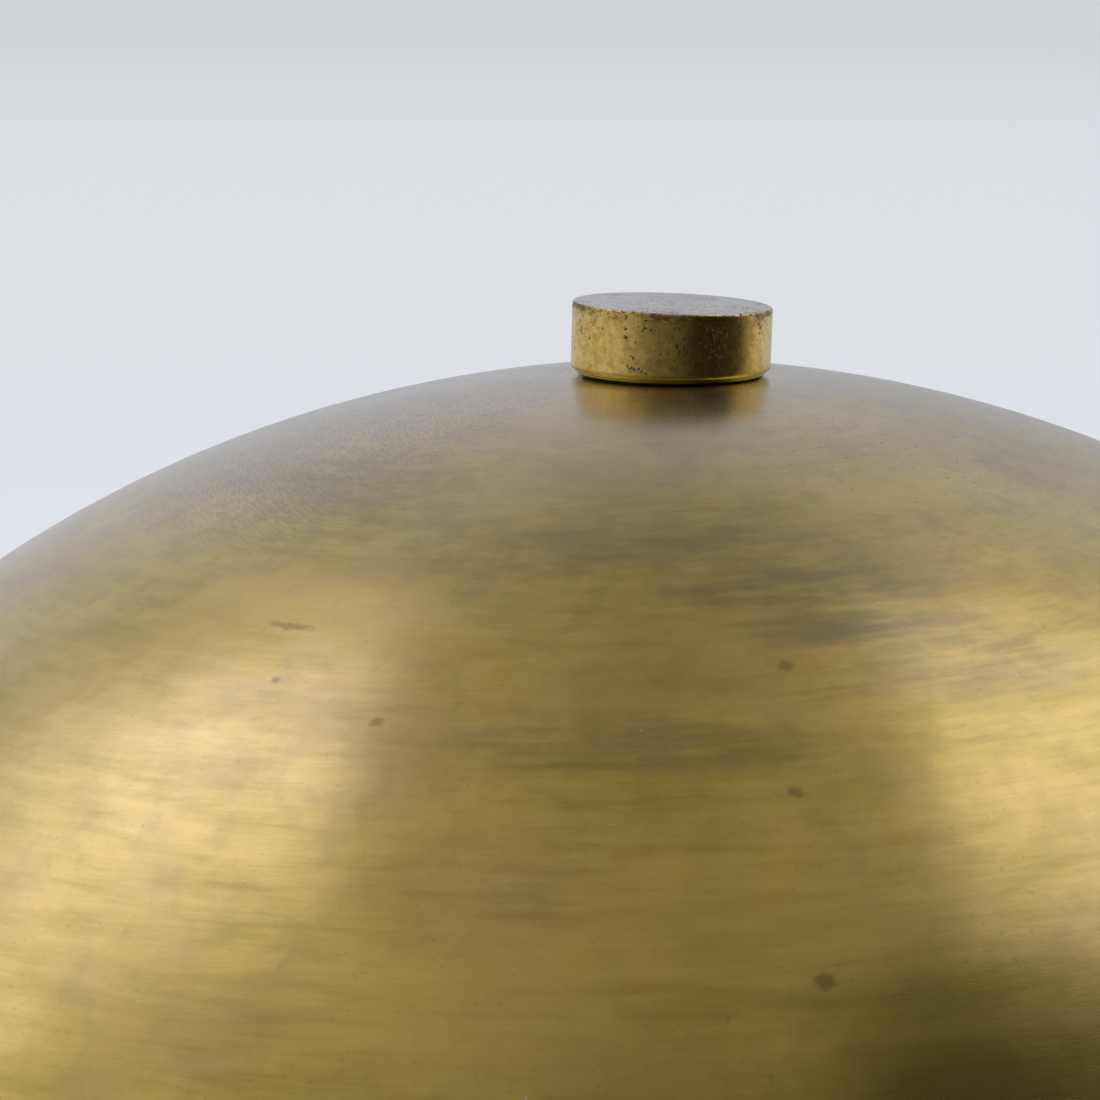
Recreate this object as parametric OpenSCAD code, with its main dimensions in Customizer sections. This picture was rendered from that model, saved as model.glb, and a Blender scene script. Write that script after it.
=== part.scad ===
// Bell jar dome: a spun brass cover with a turned knob, standing on a low wooden base.
// The dome lifts straight up off the base, and the knob unscrews from its stud.
// Frame: origin at the centre of the base's underside, +Z up along the dome's axis.

/* [Dome] */
// Outer radius of the spherical top
dome_r = 150; // [125:1:200]
// Thickness of the spun sheet
sheet_t = 1; // [0.8:0.1:1.4]
// Height from the underside of the rim to the start of the spherical top
skirt_h = 30; // [15:1:80]
// How far the knob's flat seat lies below the full sphere
seat_drop = 0.8; // [0.7:0.1:1.2]
// Diameter of the wire inside the rolled rim
wire_d = 3.1; // [2.5:0.1:4]

/* [Knob] */
// Diameter of the knob
knob_d = 24; // [22:0.5:30]
// Height of the knob
knob_h = 8.45; // [7.95:0.25:12]
// Width of the chamfer round the knob's foot
knob_chamfer = 0.9; // [0.5:0.1:1.5]
// Radius of the knob's top edge
knob_edge = 0.4; // [0.2:0.1:0.8]
// Thickness of the washer between knob and dome
knob_washer_t = 0.15; // [0.1:0.05:1]

/* [Fixing] */
// Thread diameter of the knob's stud
stud_d = 6; // [5:0.5:7]
// Length of stud inside the knob, which is the lift that frees it
stud_grip = 6; // [4:0.5:6]
// Width of the nut across its flats
nut_flats = 10; // [9:0.5:11]
// Height of the nut
nut_h = 5; // [4:0.5:6]
// Thickness of the split lock washer
lock_t = 1.6; // [1:0.1:2]
// Outside diameter of the spreader washer
spreader_d = 24; // [18:1:26]
// Thickness of the spreader washer
spreader_t = 1.5; // [1:0.1:2]

/* [Base] */
// Diameter of the base board
board_d = 340; // [330:5:460]
// Thickness of the base board
board_t = 18; // [16:1:30]
// Height of the raised deck that centres the dome
deck_h = 10; // [9:1:14]
// Clearance between the deck and the inside of the dome
deck_gap = 2; // [1:0.5:4]
// Thickness of the felt under the base
base_felt_t = 2; // [1:0.5:4]
// Thickness of the felt ring under the dome's rim
rim_felt_t = 1.5; // [1:0.5:3]
// Width of the felt ring under the dome's rim
rim_felt_w = 11; // [10:0.5:12]
// Thickness of the felt on the deck
deck_felt_t = 1.5; // [1:0.5:3]
// Number of screws that hold the deck to the board
screw_n = 4; // [3:1:8]

/* [Hidden] */

$fn = 180;
small_fn = 64;          // facets of screws, washers and the stud
cut = 1;                // how far a cutter runs past the face it cuts

// Base, from the table up
board_r = board_d / 2;
board_z = base_felt_t;
board_top = board_z + board_t;
board_chamfer = 4;
board_edge = 3;
deck_r = dome_r - sheet_t - deck_gap;
deck_top = board_top + deck_h;
deck_edge = 1;
deck_felt_inset = 3;
base_felt_r = board_r - board_chamfer - 6;

// Dome, from its rim up
rest_gap = 0.1;         // air left between the rim and its felt
wire_gap = 0.05;        // air left round the wire in its curl
curl_r = wire_d / 2 + wire_gap;
bead_r = curl_r + sheet_t;
bead_x = dome_r - sheet_t + bead_r;
rim_z = board_top + rim_felt_t + rest_gap;
bead_z = rim_z + bead_r;
centre_z = rim_z + skirt_h;
seam_angle = 120;       // where the curl's edge stops, short of the skirt
seam_w = 0.25;
rim_felt_in = deck_r + 0.3;
rim_felt_out = rim_felt_in + rim_felt_w;

// Seat and fixing, at the top of the dome
stud_r = stud_d / 2;
seat_z = centre_z + dome_r - seat_drop;
spreader_z = seat_z - sheet_t - spreader_t;
lock_z = spreader_z - lock_t;
nut_z = lock_z - nut_h;
stud_tail = 2;          // stud left below the nut
stud_z = nut_z - stud_tail;
knob_z = seat_z + knob_washer_t;
stud_len = knob_z + stud_grip - stud_z;
stud_chamfer = 0.6;
shell_hole_r = stud_r + 0.25;
washer_hole_r = stud_r + 0.2;
lock_hole_r = stud_r + 0.1;
lock_w = 2.8;           // width of the lock washer's section
lock_slit = 0.8;
nut_bore_r = stud_r + 0.02;
nut_chamfer = 0.5;
washer_chamfer = 0.25;

// Knob
knob_r = knob_d / 2;
knob_bore_r = stud_r + 0.05;
knob_bore_h = stud_grip + 0.4;
drill_tip = 0.35;       // height of the tapped hole's shallow cone over its radius
knob_washer_r = knob_r - knob_chamfer - 0.5;

// Wood screws that hold the deck, driven up from under the board
screw_r = 2;
screw_len = 25;
screw_head_r = 4;
screw_head_rim = 0.4;
screw_tip = 4;
screw_circle = 0.68 * deck_r;
screw_clear = 0.25;
screw_z = board_z + 0.2;
recess_w = 1.1;
recess_len = 4.4;
recess_h = 1.8;

// A turned disc's half section: chamfer at its foot, rounded edge at its top.
module turned_section(r, h, chamfer, edge) {
    polygon([
        [0, 0], [r - chamfer, 0], [r, chamfer],
        [r, h - edge], [r - edge, h], [0, h]
    ]);
    translate([r - edge, h - edge]) circle(r = edge);
}

// A flat ring, chamfered on both faces.
module washer(inner, outer, t, chamfer) {
    rotate_extrude($fn = small_fn)
        polygon([
            [inner, 0], [outer - chamfer, 0], [outer, chamfer],
            [outer, t - chamfer], [outer - chamfer, t], [inner, t]
        ]);
}

// A plain ring with square edges.
module ring(inner, outer, t) {
    difference() {
        cylinder(r = outer, h = t);
        translate([0, 0, -cut]) cylinder(r = inner, h = t + 2 * cut);
    }
}

// Places its children at each deck screw.
module at_screws() {
    for (i = [0 : screw_n - 1])
        rotate([0, 0, 45 + i * 360 / screw_n])
            translate([screw_circle, 0, screw_z]) children();
}

// The quarter of a disc that lies right of the axis and between 0 and the seat.
module quarter(r, top) {
    intersection() {
        circle(r = r);
        square([r + cut, top]);
    }
}

// Half section of the spun shell, with the sphere's centre at 0,0: top, skirt and curl.
module shell_section() {
    skirt_low = bead_z - centre_z;
    difference() {
        union() {
            quarter(dome_r, dome_r - seat_drop);
            translate([dome_r - sheet_t, skirt_low]) square([sheet_t, -skirt_low]);
            translate([bead_x, skirt_low]) circle(r = bead_r);
        }
        quarter(dome_r - sheet_t, dome_r - seat_drop - sheet_t);
        translate([bead_x, skirt_low]) {
            circle(r = curl_r);
            rotate(seam_angle) translate([0, -seam_w / 2]) square([bead_r + seam_w / 2, seam_w]);
        }
    }
}

module dome_shell() {
    color("#9c8042")
    translate([0, 0, centre_z])
        difference() {
            rotate_extrude() shell_section();
            translate([0, 0, dome_r / 2]) cylinder(r = shell_hole_r, h = dome_r);
        }
}

module rim_wire() {
    color("#8d8f92")
    translate([0, 0, bead_z])
        rotate_extrude() translate([bead_x, 0]) circle(r = wire_d / 2);
}

module spreader_washer() {
    color("#b59a55")
    translate([0, 0, spreader_z])
        washer(washer_hole_r, spreader_d / 2, spreader_t, washer_chamfer);
}

module lock_washer() {
    color("#8d8f92")
    translate([0, 0, lock_z])
        difference() {
            washer(lock_hole_r, lock_hole_r + lock_w, lock_t, 0.1);
            translate([0, -lock_slit / 2, -cut])
                cube([lock_hole_r + lock_w + cut, lock_slit, lock_t + 2 * cut]);
        }
}

// A hexagon with both ends chamfered at 30 degrees, and a plain bore for the thread.
module stud_nut() {
    corner_r = nut_flats / 2 / cos(30);
    face_r = nut_flats / 2 - 0.1;
    color("#a98d4a")
    translate([0, 0, nut_z])
        difference() {
            intersection() {
                cylinder(r = corner_r, h = nut_h, $fn = 6);
                rotate_extrude($fn = small_fn)
                    polygon([
                        [0, 0], [face_r, 0], [corner_r + 0.1, nut_chamfer],
                        [corner_r + 0.1, nut_h - nut_chamfer], [face_r, nut_h], [0, nut_h]
                    ]);
            }
            translate([0, 0, -cut]) cylinder(r = nut_bore_r, h = nut_h + 2 * cut, $fn = small_fn);
        }
}

module knob_stud() {
    color("#8d8f92")
    translate([0, 0, stud_z])
        rotate_extrude($fn = small_fn)
            polygon([
                [0, 0], [stud_r - stud_chamfer, 0], [stud_r, stud_chamfer],
                [stud_r, stud_len - stud_chamfer], [stud_r - stud_chamfer, stud_len], [0, stud_len]
            ]);
}

module knob_washer() {
    color("#1c1a17")
    translate([0, 0, seat_z]) ring(washer_hole_r, knob_washer_r, knob_washer_t);
}

module knob() {
    color("#a8893f")
    translate([0, 0, knob_z])
        difference() {
            rotate_extrude() turned_section(knob_r, knob_h, knob_chamfer, knob_edge);
            translate([0, 0, -cut]) cylinder(r = knob_bore_r, h = knob_bore_h + cut, $fn = small_fn);
            translate([0, 0, knob_bore_h])
                cylinder(r1 = knob_bore_r, r2 = 0, h = knob_bore_r * drill_tip, $fn = small_fn);
        }
}

module base_felt() {
    color("#26272a")
    cylinder(r = base_felt_r, h = base_felt_t);
}

module base_board() {
    color("#3b2417")
    difference() {
        translate([0, 0, board_z])
            rotate_extrude() turned_section(board_r, board_t, board_chamfer, board_edge);
        at_screws() {
            head_r = screw_head_r + screw_clear;
            shank_r = screw_r + screw_clear;
            translate([0, 0, -cut]) cylinder(r = head_r, h = cut + screw_head_rim, $fn = small_fn);
            translate([0, 0, screw_head_rim])
                cylinder(r1 = head_r, r2 = shank_r, h = head_r - shank_r, $fn = small_fn);
            cylinder(r = shank_r, h = board_t + cut, $fn = small_fn);
        }
    }
}

module deck_disc() {
    color("#452b1b")
    difference() {
        translate([0, 0, board_top])
            rotate_extrude() turned_section(deck_r, deck_h, deck_edge / 2, deck_edge);
        at_screws() {
            cylinder(r = screw_r, h = screw_len - screw_tip, $fn = small_fn);
            translate([0, 0, screw_len - screw_tip])
                cylinder(r1 = screw_r, r2 = 0, h = screw_tip, $fn = small_fn);
        }
    }
}

module deck_felt() {
    color("#1f3a2a")
    translate([0, 0, deck_top]) cylinder(r = deck_r - deck_felt_inset, h = deck_felt_t);
}

module rim_felt() {
    color("#26272a")
    translate([0, 0, board_top]) ring(rim_felt_in, rim_felt_out, rim_felt_t);
}

// Countersunk wood screw, head down, with a cross recess.
module wood_screw() {
    difference() {
        rotate_extrude($fn = small_fn)
            polygon([
                [0, 0], [screw_head_r, 0], [screw_head_r, screw_head_rim],
                [screw_r, screw_head_rim + screw_head_r - screw_r],
                [screw_r, screw_len - screw_tip], [0, screw_len]
            ]);
        for (a = [0, 90])
            rotate([0, 0, a])
                translate([-recess_len / 2, -recess_w / 2, -cut])
                    cube([recess_len, recess_w, cut + recess_h]);
    }
}

module deck_screws() {
    color("#b59a55")
    at_screws() wood_screw();
}

base_felt();
base_board();
deck_disc();
deck_felt();
deck_screws();
rim_felt();
dome_shell();
rim_wire();
spreader_washer();
lock_washer();
stud_nut();
knob_stud();
knob_washer();
knob();
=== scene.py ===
"""A brass display dome with a turned knob, on a low walnut base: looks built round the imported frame."""

from math import asin, atan2, cos, degrees, hypot, pi, radians, sin, sqrt, tan

import bmesh
import bpy
import numpy as np
from mathutils import Matrix, Quaternion, Vector


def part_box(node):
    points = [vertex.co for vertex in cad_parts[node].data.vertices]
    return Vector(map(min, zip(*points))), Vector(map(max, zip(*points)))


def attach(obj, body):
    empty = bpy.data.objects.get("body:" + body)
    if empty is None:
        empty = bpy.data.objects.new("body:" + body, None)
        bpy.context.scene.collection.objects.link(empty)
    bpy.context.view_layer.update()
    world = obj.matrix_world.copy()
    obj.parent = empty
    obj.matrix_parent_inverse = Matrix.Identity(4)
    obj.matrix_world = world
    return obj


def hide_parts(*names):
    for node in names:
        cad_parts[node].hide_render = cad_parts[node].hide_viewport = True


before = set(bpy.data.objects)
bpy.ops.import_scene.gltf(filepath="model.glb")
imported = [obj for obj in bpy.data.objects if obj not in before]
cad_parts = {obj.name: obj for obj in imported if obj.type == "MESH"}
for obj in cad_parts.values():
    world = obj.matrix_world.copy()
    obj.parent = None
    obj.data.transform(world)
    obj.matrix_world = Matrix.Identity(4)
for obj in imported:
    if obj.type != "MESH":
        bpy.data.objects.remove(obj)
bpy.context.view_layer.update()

MM = 0.001              # lengths below are in millimetres, and meshes are written in metres
TURN = 2 * pi


# ---------------------------------------------------------------- sizes read from the frame

def extent(node):
    """Outer radius, lowest and highest z of a round node, in millimetres."""
    low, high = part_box(node)
    radius = max(high.x, -low.x, high.y, -low.y) / MM
    return round(radius, 1), round(low.z / MM, 2), round(high.z / MM, 2)


DOME_OUT, RIM_Z, SEAT_Z = extent("dome_shell")
_, WIRE_LOW, WIRE_HIGH = extent("rim_wire")
KNOB_R, KNOB_Z, KNOB_TOP = extent("knob")
WASHER_R, WASHER_Z, WASHER_TOP = extent("knob_washer")
STUD_R, STUD_Z, STUD_TOP = extent("knob_stud")
NUT_R, NUT_Z, NUT_TOP = extent("stud_nut")
LOCK_R, LOCK_Z, LOCK_TOP = extent("lock_washer")
SPREADER_R, SPREADER_Z, SPREADER_TOP = extent("spreader_washer")
BOARD_R, BOARD_Z, BOARD_TOP = extent("base_board")
DECK_R, DECK_Z, DECK_TOP = extent("deck_disc")
DECK_FELT_R, DECK_FELT_Z, DECK_FELT_TOP = extent("deck_felt")
RIM_FELT_R, RIM_FELT_Z, RIM_FELT_TOP = extent("rim_felt")
BASE_FELT_R, BASE_FELT_Z, BASE_FELT_TOP = extent("base_felt")

SHEET_T = 1.0           # thickness of the spun sheet
SEAT_DROP = 0.8         # how far the seat lies below the full sphere
DOME_R = 150.0          # outer radius of the sphere
CENTRE_Z = SEAT_Z + SEAT_DROP - DOME_R
BEAD_Z = (WIRE_LOW + WIRE_HIGH) / 2
BEAD_R = BEAD_Z - RIM_Z
BEAD_X = DOME_OUT - BEAD_R
WIRE_R = (WIRE_HIGH - WIRE_LOW) / 2
HOLE_R = 3.25           # the hole in the crown that the stud passes through
PITCH = 1.0             # of the stud's thread
KNOB_CHAMFER = 0.9      # round the knob's foot
LEAN = 1.3              # the knob's sides, top and foot are each a little out of true, in degrees
TOP_TILT = 2.0
FOOT_TILT = 0.35
RIM_FELT_GAP = 0.3      # between the deck's side and the felt that the rim lands on
SCREW_Z, SCREW_TOP = (round(corner.z / MM, 2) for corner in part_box("deck_screws"))
SCREW_R = 2.0
SCREW_HEAD_R = 4.0
SCREW_HEAD_RIM = 0.4    # the straight rim of the countersunk head
SCREW_TIP = 4.0         # length of the point


# ---------------------------------------------------------------- mesh helpers

def arc(cx, cz, radius, start, end, count):
    """Points on an arc of a profile, from one angle to another in degrees."""
    steps = np.radians(np.linspace(start, end, count))
    return [(cx + radius * cos(a), cz + radius * sin(a)) for a in steps]


def line(a, b, count):
    """Points from a towards b, without b."""
    return [(a[0] + (b[0] - a[0]) * i / count, a[1] + (b[1] - a[1]) * i / count) for i in range(count)]


def add_mesh(name, verts, faces, sharp=30):
    """A new smooth-shaded object from points in millimetres, sharp where faces meet at a steep angle."""
    mesh = bpy.data.meshes.new(name)
    mesh.from_pydata([(x * MM, y * MM, z * MM) for x, y, z in verts], [], faces)
    bm = bmesh.new()
    bm.from_mesh(mesh)
    bmesh.ops.recalc_face_normals(bm, faces=bm.faces)
    bm.to_mesh(mesh)
    bm.free()
    mesh.polygons.foreach_set("use_smooth", [True] * len(mesh.polygons))
    mesh.set_sharp_from_angle(angle=radians(sharp))
    obj = bpy.data.objects.new(name, mesh)
    bpy.context.scene.collection.objects.link(obj)
    return obj


def lathe(name, profile, segments, shape=None, sharp=30):
    """Turns a closed profile of (radius, height) about Z. shape(r, z, angle) may move each point."""
    verts = []
    rings = []
    for r, z in profile:
        count = segments if r > 1e-6 else 1
        rings.append((len(verts), count))
        for k in range(count):
            angle = TURN * k / segments
            rr, zz = shape(r, z, angle) if shape else (r, z)
            verts.append((rr * cos(angle), rr * sin(angle), zz))
    faces = []
    for i, (first, count) in enumerate(rings):
        after, after_count = rings[(i + 1) % len(rings)]
        if count == 1 and after_count == 1:
            continue
        for k in range(segments):
            n = (k + 1) % segments
            if count == 1:
                faces.append((first, after + k, after + n))
            elif after_count == 1:
                faces.append((first + k, after, first + n))
            else:
                faces.append((first + k, after + k, after + n, first + n))
    return add_mesh(name, verts, faces, sharp)


def open_ring(name, sections):
    """A rod bent round into a ring that doesn't quite close. Each section has the same number of points."""
    sides, last = len(sections[0]), len(sections) - 1
    faces = [tuple(range(sides)), tuple(last * sides + k for k in reversed(range(sides)))]
    for i in range(last):
        for k in range(sides):
            n = (k + 1) % sides
            faces.append((i * sides + k, (i + 1) * sides + k, (i + 1) * sides + n, i * sides + n))
    return add_mesh(name, [point for section in sections for point in section], faces)


def rounded_section(inner, outer, low, high, soft, count):
    """The cross-section of a flat ring with rounded edges."""
    corners = [(inner + soft, low + soft, 180, 270), (outer - soft, low + soft, 270, 360),
               (outer - soft, high - soft, 0, 90), (inner + soft, high - soft, 90, 180)]
    return [point for cx, cz, a, b in corners for point in arc(cx, cz, soft, a, b, count)]


def thread_depth(z, angle, pitch, flat=0.2):
    """How deep a thread is at a point, from 0 at its crest to 1 at its root."""
    phase = (z / pitch - angle / TURN) % 1.0
    rise = 2 * abs(phase - 0.5)
    return min(1.0, max(0.0, (rise - flat) / (1 - 2 * flat)))


def cut_away(obj, cutters):
    """Cuts closed meshes out of obj and deletes them."""
    for cutter in cutters:
        mod = obj.modifiers.new("cut", "BOOLEAN")
        mod.operation = "DIFFERENCE"
        mod.solver = "EXACT"
        mod.object = cutter
        bpy.context.view_layer.update()
        with bpy.context.temp_override(object=obj, active_object=obj, selected_objects=[obj]):
            bpy.ops.object.modifier_apply(modifier=mod.name)
        bpy.data.objects.remove(cutter)
    obj.data.set_sharp_from_angle(angle=radians(30))


def joined(name, objects):
    """One object from several."""
    for o in bpy.context.selected_objects:
        o.select_set(False)
    for o in objects:
        o.select_set(True)
    bpy.context.view_layer.objects.active = objects[0]
    bpy.ops.object.join()
    objects[0].name = name
    objects[0].data.name = name
    return objects[0]


def place(obj, body, node, material):
    """Puts a finished piece on its body, in the place of its CAD node."""
    obj.name = obj.data.name = node + "_piece"
    obj.data.materials.clear()
    obj.data.materials.append(material)
    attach(obj, body)
    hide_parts(node)
    return obj


# ---------------------------------------------------------------- material helpers

class Nodes:
    """A node tree, with short calls for the nodes that the looks share."""

    def __init__(self, tree, coordinates):
        self.tree = tree
        self.point = self.new("ShaderNodeTexCoord").outputs[coordinates]

    def new(self, kind, **values):
        node = self.tree.nodes.new(kind)
        for key, value in values.items():
            setattr(node, key, value)
        return node

    def put(self, socket, value):
        if isinstance(value, bpy.types.NodeSocket):
            self.tree.links.new(value, socket)
        else:
            socket.default_value = value

    def math(self, operation, a, b=0.0):
        node = self.new("ShaderNodeMath", operation=operation)
        for socket, value in zip(node.inputs, (a, b)):
            self.put(socket, value)
        return node.outputs[0]

    def add(self, a, b):
        return self.math("ADD", a, b)

    def minus(self, a, b):
        return self.math("SUBTRACT", a, b)

    def times(self, a, b):
        return self.math("MULTIPLY", a, b)

    def vector(self, x, y, z=0.0):
        node = self.new("ShaderNodeCombineXYZ")
        for socket, value in zip(node.inputs, (x, y, z)):
            self.put(socket, value)
        return node.outputs[0]

    def axes(self, vector=None):
        node = self.new("ShaderNodeSeparateXYZ")
        self.put(node.inputs[0], self.point if vector is None else vector)
        return node.outputs

    def from_axis(self):
        """Distance from the Z axis."""
        x, y, _ = self.axes()
        return self.math("SQRT", self.add(self.times(x, x), self.times(y, y)))

    def scaled(self, vector, factors):
        node = self.new("ShaderNodeVectorMath", operation="MULTIPLY")
        self.put(node.inputs[0], vector)
        self.put(node.inputs[1], factors)
        return node.outputs[0]

    def noise(self, vector, scale=1.0, detail=2.0, rough=0.5, distortion=0.0):
        node = self.new("ShaderNodeTexNoise")
        self.put(node.inputs["Vector"], vector)
        node.inputs["Scale"].default_value = scale
        node.inputs["Detail"].default_value = detail
        node.inputs["Roughness"].default_value = rough
        node.inputs["Distortion"].default_value = distortion
        return node.outputs["Fac"]

    def cells(self, vector, scale=1.0):
        """Distance to the nearest point of a scattered set."""
        node = self.new("ShaderNodeTexVoronoi")
        self.put(node.inputs["Vector"], vector)
        node.inputs["Scale"].default_value = scale
        return node.outputs["Distance"]

    def ramp(self, value, low, high, out_low=0.0, out_high=1.0):
        """A smooth step from out_low at low to out_high at high."""
        node = self.new("ShaderNodeMapRange", interpolation_type="SMOOTHSTEP")
        for socket, v in zip(node.inputs, (value, low, high, out_low, out_high)):
            self.put(socket, v)
        return node.outputs[0]

    def mix(self, share, a, b):
        """Colour b over colour a."""
        node = self.new("ShaderNodeMix", data_type="RGBA", clamp_factor=True)
        self.put(node.inputs["Factor"], share)
        self.put(node.inputs[6], a)
        self.put(node.inputs[7], b)
        return node.outputs[2]

    def blend(self, share, a, b):
        """Number b in place of number a."""
        node = self.new("ShaderNodeMix", data_type="FLOAT", clamp_factor=True)
        self.put(node.inputs[0], share)
        self.put(node.inputs[2], a)
        self.put(node.inputs[3], b)
        return node.outputs[0]

    def bump(self, height, distance, strength=1.0, normal=None):
        node = self.new("ShaderNodeBump")
        node.inputs["Strength"].default_value = strength
        node.inputs["Distance"].default_value = distance
        self.put(node.inputs["Height"], height)
        if normal is not None:
            self.put(node.inputs["Normal"], normal)
        return node.outputs[0]


class Shader(Nodes):
    """The nodes of a new material."""

    def __init__(self, name):
        self.material = bpy.data.materials.new(name)
        self.material.use_nodes = True
        super().__init__(self.material.node_tree, "Object")
        self.surface = self.tree.nodes["Principled BSDF"]

    def set(self, **values):
        """Sets the surface's sockets. An underscore in a name stands for a space."""
        for key, value in values.items():
            self.put(self.surface.inputs[key.replace("_", " ")], value)

    def brushed_round(self, amount):
        """Stretches the highlights, as on metal that was brushed in circles about Z."""
        tangent = self.new("ShaderNodeTangent", direction_type="RADIAL", axis="Z")
        self.set(Tangent=tangent.outputs[0], Anisotropic=amount, Anisotropic_Rotation=0.25)


def rgb(r, g, b):
    return (r, g, b, 1.0)


# ---------------------------------------------------------------- brass

BRASS_BRIGHT = rgb(0.76, 0.525, 0.12)
BRASS_OLIVE = rgb(0.54, 0.383, 0.055)
BRASS_ROSE = rgb(0.60, 0.395, 0.12)
BRASS_BROWN = rgb(0.30, 0.20, 0.05)
# painted sheen: a grey for the dome's top, standing in for its pale grazing reflection
CROWN_SHEEN_GREY = rgb(0.56, 0.50, 0.41)
TARNISH = rgb(0.055, 0.04, 0.025)
# The next two browns are painted shade, for the darkened patches on the dome.
PAINTED_SHADE_BROWN = rgb(0.27, 0.20, 0.07)
DEEP_SHADE_BROWN = rgb(0.25, 0.185, 0.075)
SCRATCH_BROWN = rgb(0.26, 0.20, 0.11)
STAIN_BROWN = rgb(0.27, 0.185, 0.025)
DUST_GREY = rgb(0.8, 0.8, 0.78)
CHART_RADIUS = 75 * MM      # turns an angle round the axis into a length for the strokes
STAIN_WOBBLE = 1.2 * MM     # how far the edge of a stain wanders

# Places on the dome: degrees down from its top, degrees round from the front, length and width in
# millimetres.
DOME_STAINS = [
    (29.2, -32, 4.2, 0.7), (33.7, -20, 1.1, 0.95), (29.9, 9, 1.2, 1.0), (36.3, 8, 1.1, 0.9),
    (44.3, 8, 1.4, 1.1), (12.7, -61, 1.0, 0.45), (11.4, -45, 1.0, 0.4), (32.2, -29.5, 0.8, 0.7),
    (33.9, 61, 1.6, 1.2), (52.0, -48, 2.4, 1.6), (41.0, 120, 2.0, 1.2), (38.0, -140, 2.6, 1.5),
    (61.0, 35, 2.2, 1.7),
]
PITTED = [(15.0, 50, 46, 26), (9.0, -60, 22, 14), (40.0, 150, 60, 30)]
# Painted shade and highlight: the next two lists are patches painted darker, the second darker still, and the
# third is patches painted lighter, standing in for darker and lighter reflections at those places.
SHADED_PATCHES = [(22.3, 0, 56, 8), (34.0, -1, 34, 6), (30.5, 24, 22, 8), (19.0, -52, 56, 12)]
DEEP_SHADED_PATCHES = [(25.2, 13, 24, 7), (27.7, 16.5, 20, 7)]        # darker than the first shaded patches
HIGHLIGHT_PATCHES = [(42.0, 4, 34, 12), (27.5, -31, 30, 10), (19.0, 31, 16, 6), (46.0, -9, 30, 12)]


def polar_charts(s, height):
    """Two angles round the axis whose seams lie on opposite sides, the share of the second, and the height
    along the profile that goes with both."""
    x, y, _ = s.axes()
    front = s.math("ARCTAN2", x, s.times(y, -1))
    back = s.math("ARCTAN2", s.times(x, -1), y)
    share = s.ramp(s.math("ABSOLUTE", front), radians(80), radians(100))
    return front, back, share, height


def strokes(s, charts, length, width, lean=0.0, detail=1.0, rough=0.5, seed=0.0):
    """Noise drawn out round the axis, in strokes of a length and width in metres. lean is their angle to the
    circle, in radians."""
    front, back, share, height = charts
    outs = []
    for angle, shift in ((front, seed), (back, seed + 7.3)):
        along = s.times(angle, CHART_RADIUS)
        across = s.add(height, s.times(along, tan(lean)))
        vector = s.vector(s.times(along, 1 / length), s.times(across, 1 / width), shift)
        outs.append(s.noise(vector, 1.0, detail, rough))
    return s.blend(share, *outs)


def dome_height(s):
    """Distance down the dome from its top, along its surface."""
    up = s.minus(s.axes()["Z"], CENTRE_Z * MM)
    polar = s.math("ARCTAN2", s.from_axis(), s.math("MAXIMUM", up, 0.0))
    below = s.math("MINIMUM", up, 0.0)
    return s.minus(s.times(polar, DOME_R * MM), below)


def stain_mask(s, spots, core=0.2, rim=1.6):
    """Soft spots, each by its place on the dome and its size. core and rim say how sharp their edges are."""
    total = None
    wobble = s.new("ShaderNodeTexNoise")
    s.put(wobble.inputs["Vector"], s.point)
    wobble.inputs["Scale"].default_value = 900
    jitter = s.new("ShaderNodeVectorMath", operation="MULTIPLY_ADD")
    s.put(jitter.inputs[0], wobble.outputs["Color"])
    jitter.inputs[1].default_value = (STAIN_WOBBLE, STAIN_WOBBLE, STAIN_WOBBLE)
    s.put(jitter.inputs[2], s.point)
    for down, round_, length, width in spots:
        p, a = radians(down), radians(round_)
        place_at = Vector((sin(p) * sin(a), -sin(p) * cos(a), cos(p))) * DOME_R * MM
        place_at.z += CENTRE_Z * MM
        middle = place_at + Vector((1, 1, 1)) * STAIN_WOBBLE / 2
        along = Vector((cos(a), sin(a), 0.0))
        across = Vector((cos(p) * sin(a), -cos(p) * cos(a), -sin(p)))
        away = s.new("ShaderNodeVectorMath", operation="SUBTRACT")
        s.put(away.inputs[0], jitter.outputs[0])
        away.inputs[1].default_value = middle
        squares = []
        for direction, size in ((along, length), (across, width)):
            dot = s.new("ShaderNodeVectorMath", operation="DOT_PRODUCT")
            s.put(dot.inputs[0], away.outputs[0])
            dot.inputs[1].default_value = direction / (size / 2 * MM)
            squares.append(s.times(dot.outputs["Value"], dot.outputs["Value"]))
        spot = s.ramp(s.add(*squares), core, rim, 1.0, 0.0)
        total = spot if total is None else s.math("MAXIMUM", total, spot)
    return total


def aged_tone(s, age, streaks, bands, blotch):
    """Bright, olive and rosy brass under brown streaks."""
    tone = s.mix(s.ramp(age, 0.36, 0.64), BRASS_BRIGHT, BRASS_OLIVE)
    rosy = s.ramp(s.noise(s.point, 48.0, 4.0, 0.6), 0.44, 0.64)
    tone = s.mix(s.times(rosy, 0.5), tone, BRASS_ROSE)
    dark = s.add(s.times(streaks, 0.45), s.add(s.times(bands, 0.3), s.times(blotch, 0.25)))
    return s.mix(s.times(s.ramp(dark, 0.52, 0.68), 0.34), tone, BRASS_BROWN)


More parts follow.
